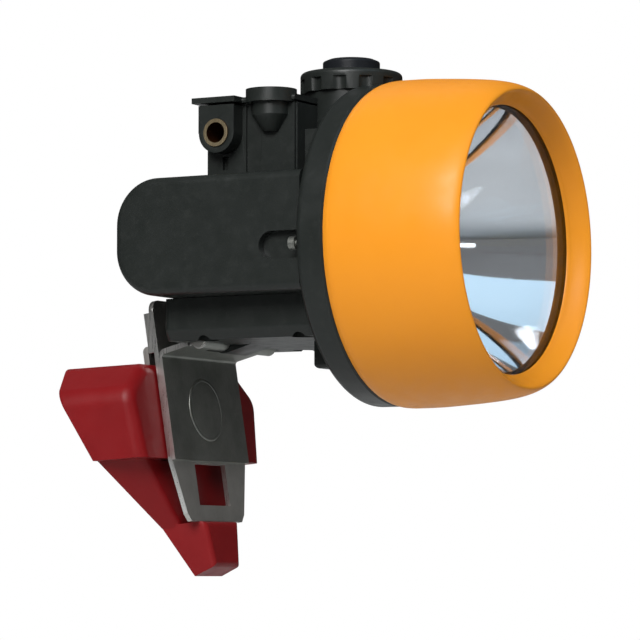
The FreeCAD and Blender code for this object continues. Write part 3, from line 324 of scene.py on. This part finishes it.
def smoothed(points, reach, steps=5):
    """Round every corner of an open outline with a short curve, at most reach long each way."""
    rounded = [points[0]]
    for before, corner, after in zip(points, points[1:], points[2:]):
        a, c, b = Vector(before), Vector(corner), Vector(after)
        start = c + (a - c).normalized() * min(reach, (a - c).length * 0.48)
        end = c + (b - c).normalized() * min(reach, (b - c).length * 0.48)
        for k in range(steps + 1):
            t = k / steps
            rounded.append(tuple(start * (1 - t) ** 2 + c * (2 * t * (1 - t)) + end * t ** 2))
    rounded.append(points[-1])
    return rounded


LENS_LOW, LENS_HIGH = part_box("lens")
HEAD = Vector((0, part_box("battery_housing")[0].y, (LENS_LOW.z + LENS_HIGH.z) / 2))


def lathe(name, profile, around, sink=None):
    """Turn a closed outline of (radius, forward) points about the beam axis.

    sink may give how far a point is let in, from its radius, forward place and angle."""
    form = bmesh.new()
    rings = []
    for k in range(around):
        turn = 2 * math.pi * k / around
        ring = []
        for radius, ahead in profile:
            r = radius - (sink(radius, ahead, turn) if sink else 0.0)
            spot = Vector((r * math.sin(turn), -ahead, r * math.cos(turn))) * MM
            ring.append(form.verts.new(HEAD + spot))
        rings.append(ring)
    for near, far in zip(rings, rings[1:] + rings[:1]):
        for s in range(len(profile)):
            e = (s + 1) % len(profile)
            form.faces.new((near[s], far[s], far[e], near[e]))
    bmesh.ops.recalc_face_normals(form, faces=form.faces)
    mesh = bpy.data.meshes.new(name)
    form.to_mesh(mesh)
    form.free()
    for face in mesh.polygons:
        face.use_smooth = True
    return mesh


LENS_FACE = (HEAD.y - LENS_LOW.y) / MM
BEZEL_LOW, BEZEL_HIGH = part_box("bezel")
BEZEL_RADIUS = BEZEL_HIGH.x / MM
BEZEL_FRONT = (HEAD.y - BEZEL_LOW.y) / MM
BEZEL_BACK = (HEAD.y - BEZEL_HIGH.y) / MM


NOTCH_AHEAD = 16.5
NOTCH_HALF_LENGTH = 2
NOTCH_HALF_WIDTH = 1.3
NOTCH_DEPTH = 0.7


def notch_depth(radius, ahead, turn):
    """The assembly mark on top of the bezel."""
    side = abs((turn + math.pi) % (2 * math.pi) - math.pi) * BEZEL_RADIUS
    along = abs(ahead - NOTCH_AHEAD)
    in_notch = radius > BEZEL_RADIUS - 2 and along < NOTCH_HALF_LENGTH and side < NOTCH_HALF_WIDTH
    return NOTCH_DEPTH if in_notch else 0.0


WALL_STEP = 0.8


def bezel_shell():
    """The orange barrel: widest near the ring, drawn in to a crest, then let in to the lens."""
    outer = smoothed([
        (BEZEL_RADIUS - 0.7, BEZEL_BACK),
        (BEZEL_RADIUS - 0.05, BEZEL_BACK + 1.2),
        (BEZEL_RADIUS - 0.1, 14),
        (BEZEL_RADIUS - 0.35, 18),
        (BEZEL_RADIUS - 0.7, 23),
        (BEZEL_RADIUS - 1.2, 28),
        (BEZEL_RADIUS - 1.9, 31.4),
        (BEZEL_RADIUS - 2.9, BEZEL_FRONT - 0.1),
        (BEZEL_RADIUS - 3.7, BEZEL_FRONT - 0.1),
        (26.45, LENS_FACE + 1.0),
        (25.85, LENS_FACE + 0.45),
    ], 2.2)
    inner = [(25.75, LENS_FACE + 0.1), (28.1, LENS_FACE + 0.02), (28.2, LENS_FACE - 6),
             (28.9, LENS_FACE - 6.7), (28.9, BEZEL_BACK)]
    wall = []
    for (r0, a0), (r1, a1) in zip(outer, outer[1:]):
        pieces = max(1, round(math.hypot(r1 - r0, a1 - a0) / WALL_STEP))
        for k in range(pieces):
            wall.append((r0 + (r1 - r0) * k / pieces, a0 + (a1 - a0) * k / pieces))
    mesh = lathe("bezel_shell", wall + [outer[-1]] + inner, 288, notch_depth)
    shell = add_piece("bezel_shell", mesh, "head", "orange_plastic", "bezel")
    sharpen(shell, 50)


def sharpen(thing, angle):
    """Keep edges sharper than the angle crisp on a smooth mesh."""
    thing.data.set_sharp_from_angle(angle=math.radians(angle))


def reflector_bowl():
    """A parabola with three fine steps round the LED, a rolled rim, and an even wall."""
    low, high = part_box("reflector")
    mouth = (HEAD.y - low.y) / MM
    wide = 25.3
    hole = 5.4
    apex = 6.0
    focus = wide ** 2 / (4 * (mouth - apex))
    wall = 0.9
    steps = 60
    inside, outside = [], []
    for k in range(steps + 1):
        radius = hole + (wide - hole) * k / steps
        ahead = apex + radius ** 2 / (4 * focus)
        step = 0.12 * sum(1 for edge in (6.6, 8.2, 9.8) if radius > edge)
        inside.append((radius, ahead + step - 0.36))
        slope = radius / (2 * focus)
        scale = wall / math.hypot(1, slope)
        outside.append((radius + slope * scale, ahead - scale - 0.4))
    rim = [(25.7, mouth), (27.8, mouth), (27.8, mouth - 1.1), (26.4, mouth - 1.1)]
    mesh = lathe("reflector_bowl", inside + rim + outside[::-1], 256)
    sharpen(add_piece("reflector_bowl", mesh, "head", "reflector_chrome", "reflector"), 40)


bezel_shell()
reflector_bowl()


# ---------------------------------------------------------------- details on the CAD nodes

def facing(axis, least):
    """Picks faces whose normal leans along an axis, either way."""
    return lambda face: abs(face.normal[axis]) > least


second_coat(NODES["hook_plate"], "cut_steel", facing(0, 0.9))
second_coat(NODES["hinge_leaf"], "cut_steel", facing(0, 0.9))

SHELL_LOW, SHELL_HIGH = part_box("charge_socket_shell")
SOCKET_AXIS = (SHELL_LOW + SHELL_HIGH) / 2


BORE_REACH = 2.05 * MM
BORE_DEPTH = 3 * MM


def inside_bore(face):
    off = face.center - SOCKET_AXIS
    in_bore = math.hypot(off.y, off.z) < BORE_REACH
    return in_bore or abs(face.normal.x) < 0.5 and off.x > -BORE_DEPTH


# The bore's inner faces get the dark brass: painted shade inside the deep hole, not a stain.
second_coat(NODES["charge_socket_shell"], "brass_painted_shade", inside_bore)


CLIP_LEAN = math.radians(9)
CLIP_FOOT = Vector((0, -0.0109, 0.0048))
OVAL_RISE = 9.3
OVAL_RADIUS = 5.9
RIM_HALF_WIDTH = 0.42
RIM_HEIGHT = 0.2


def emboss_rim():
    """The pressed round rim on the leaf, laid in the leaf's leaning plane."""
    up = Vector((0, math.sin(CLIP_LEAN), math.cos(CLIP_LEAN)))
    centre = CLIP_FOOT + up * OVAL_RISE * MM
    out = Vector((0, -math.cos(CLIP_LEAN), math.sin(CLIP_LEAN)))
    form = bmesh.new()
    around, section = 96, 10
    rings = []
    for k in range(around):
        turn = 2 * math.pi * k / around
        spoke = Vector((math.sin(turn), 0, 0)) + up * math.cos(turn)
        ring = []
        for s in range(section):
            roll = 2 * math.pi * s / section
            reach = OVAL_RADIUS + RIM_HALF_WIDTH * math.cos(roll)
            lift = out * RIM_HEIGHT * math.sin(roll) * MM
            ring.append(form.verts.new(centre + spoke * reach * MM + lift))
        rings.append(ring)
    for near, far in zip(rings, rings[1:] + rings[:1]):
        for s in range(section):
            e = (s + 1) % section
            form.faces.new((near[s], far[s], far[e], near[e]))
    bmesh.ops.recalc_face_normals(form, faces=form.faces)
    mesh = bpy.data.meshes.new("emboss_rim")
    form.to_mesh(mesh)
    form.free()
    for face in mesh.polygons:
        face.use_smooth = True
    add_piece("emboss_rim", mesh, "clip", "dark_steel")


emboss_rim()


def squeezed_spring():
    """The button's return spring, copied as its own piece on the head in place of the CAD one."""
    mesh = NODES["button_spring"].data.copy()
    mesh.transform(NODES["button_spring"].matrix_world)
    mesh.materials.clear()
    spring = add_piece("return_spring", mesh, "head", "nickel", "button_spring")
    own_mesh(spring)


squeezed_spring()


# ---------------------------------------------------------------- stage, light and camera

FLOOR_GAP = 0.09
FLOOR_LEVEL = CAD_BOX[0].z - FLOOR_GAP
FLOOR_RADIUS = 2.1


def add_stage():
    mesh = bpy.data.meshes.new("floor")
    form = bmesh.new()
    bmesh.ops.create_circle(form, cap_ends=True, radius=FLOOR_RADIUS, segments=96,
                            matrix=Matrix.Translation((0, 0, FLOOR_LEVEL)))
    form.to_mesh(mesh)
    form.free()
    floor = bpy.data.objects.new("floor", mesh)
    bpy.context.scene.collection.objects.link(floor)
    look = Look("floor_paper", (0.55, 0.55, 0.545), 0.9)
    look.bump(look.noise(60, 4.0), 0.05)
    mesh.materials.append(look.material)


def add_light(name, place, aim, power, width, height, color=(1.0, 1.0, 1.0), spread=180):
    lamp = bpy.data.lights.new(name, "AREA")
    lamp.shape = "RECTANGLE"
    lamp.size = width
    lamp.size_y = height
    lamp.energy = power
    lamp.color = color
    lamp.spread = math.radians(spread)
    thing = bpy.data.objects.new(name, lamp)
    thing.location = place
    thing.rotation_mode = "QUATERNION"
    thing.rotation_quaternion = (Vector(aim) - Vector(place)).to_track_quat("-Z", "Y")
    bpy.context.scene.collection.objects.link(thing)
    return thing


def add_camera():
    """A long lens, low and to the left of the lamp."""
    eye = Vector((-621.6, -383.2, -19.9)) * MM
    aim = Vector((-1.0, -36.0, 31.0)) * MM
    camera = bpy.data.cameras.new("camera")
    camera.lens = 205.0
    camera.clip_start = 0.01
    thing = bpy.data.objects.new("camera", camera)
    thing.location = eye
    thing.rotation_mode = "QUATERNION"
    thing.rotation_quaternion = (aim - eye).to_track_quat("-Z", "Y")
    bpy.context.scene.collection.objects.link(thing)
    bpy.context.scene.camera = thing


def add_world():
    """A white background for the camera, in a dim room that is brighter toward the key."""
    world = bpy.data.worlds.new("studio")
    bpy.context.scene.world = world
    world.use_nodes = True
    tree = world.node_tree
    way = tree.nodes.new("ShaderNodeTexCoord")
    toward = tree.nodes.new("ShaderNodeVectorMath")
    toward.operation = "DOT_PRODUCT"
    toward.inputs[1].default_value = ROOM_WAY
    tree.links.new(way.outputs["Generated"], toward.inputs[0])
    room = tree.nodes.new("ShaderNodeMapRange")
    room.inputs["From Min"].default_value = ROOM_FADE[0]
    room.inputs["From Max"].default_value = ROOM_FADE[1]
    room.inputs["To Min"].default_value = ROOM_DARK
    room.inputs["To Max"].default_value = ROOM_LIGHT
    tree.links.new(toward.outputs["Value"], room.inputs["Value"])
    rays = tree.nodes.new("ShaderNodeLightPath")
    level = tree.nodes.new("ShaderNodeMapRange")
    level.inputs["To Max"].default_value = 1.0
    tree.links.new(room.outputs["Result"], level.inputs["To Min"])
    tree.links.new(rays.outputs["Is Camera Ray"], level.inputs["Value"])
    background = tree.nodes["Background"]
    background.inputs["Color"].default_value = (1.0, 1.0, 1.0, 1.0)
    tree.links.new(level.outputs["Result"], background.inputs["Strength"])


ROOM_WAY = Vector((-0.5, -0.5, 0.7)).normalized()
ROOM_FADE = (-0.4, 0.7)
ROOM_DARK = 0.03
ROOM_LIGHT = 0.2
HEART = Vector((0.0, -0.036, 0.031))
KEY_WAY = Vector((-1.0, -0.22, 0.62)).normalized()
BACK_WAY = Vector((0.75, 0.8, 0.9)).normalized()
WINDOW_WAY = Vector((-0.3, -0.6, 0.75)).normalized()
KEY_AWAY = 1.35
WINDOW_AWAY = 1.3

add_stage()
add_world()
add_camera()
bpy.context.scene.view_settings.view_transform = "Standard"
add_light("key", HEART + KEY_WAY * KEY_AWAY, HEART, 3.7, 0.75, 0.75, spread=60)
back = add_light("back", HEART + BACK_WAY * KEY_AWAY, HEART, 2.2, 0.9, 0.9, spread=60)
back.visible_glossy = False
add_light("window", HEART + WINDOW_WAY * WINDOW_AWAY, HEART, 3.8, 1.3, 0.85, (0.56, 0.82, 1.0))
add_light("strip", (-0.25, -1.2, 0.075), HEART, 0.3, 0.5, 0.07)
